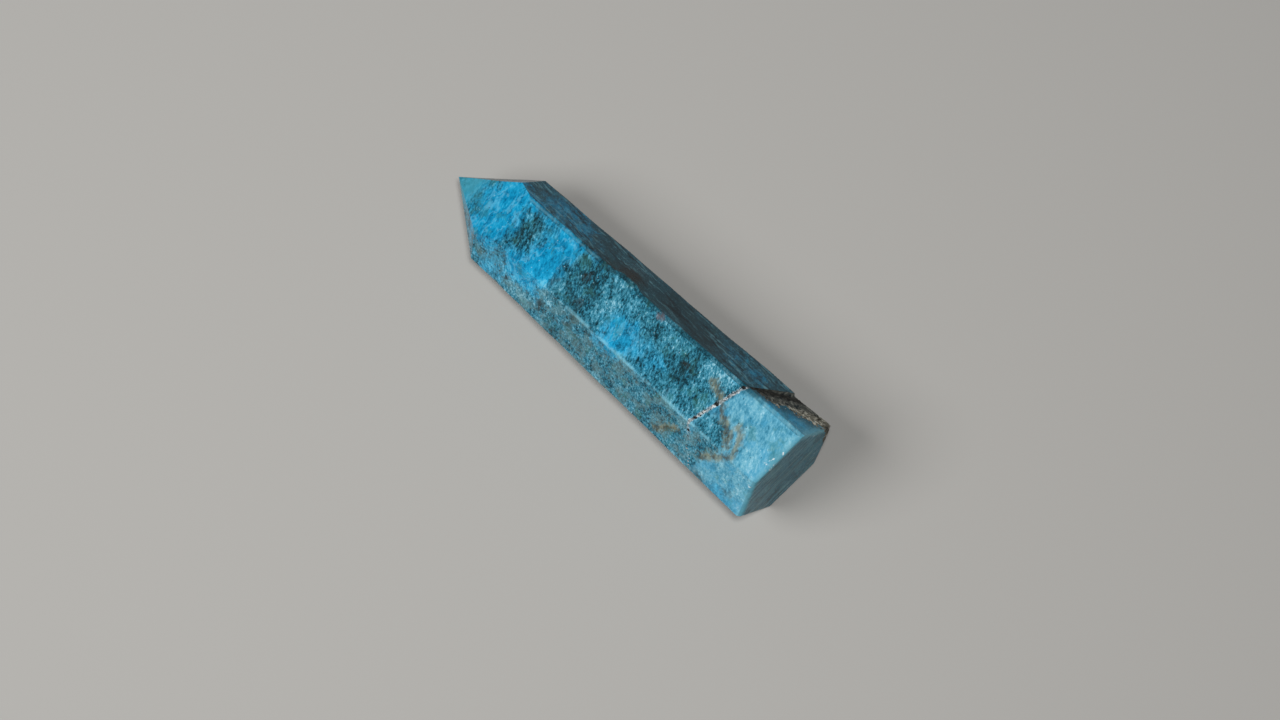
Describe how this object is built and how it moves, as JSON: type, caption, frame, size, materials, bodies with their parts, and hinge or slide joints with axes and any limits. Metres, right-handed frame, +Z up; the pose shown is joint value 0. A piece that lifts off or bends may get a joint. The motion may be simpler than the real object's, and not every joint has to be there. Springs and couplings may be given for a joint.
{
  "type": "polished apatite crystal point",
  "caption": "Polished blue apatite point: a tapered hexagonal prism with a faceted tip and a flat sawn base, lying on one side face.",
  "frame": {"origin": "middle of the bounding box on the surface that the stone lies on", "axes": "+Z up, -X towards the pointed tip, +X towards the sawn base"},
  "size_m": [0.0796, 0.0226, 0.02],
  "materials": {
    "apatite": "ground and polished, semi-gloss, with a small unpolished broken skin near the base"
  },
  "bodies": {
    "root": {"apatite_point": "apatite"}
  },
  "joints": []
}
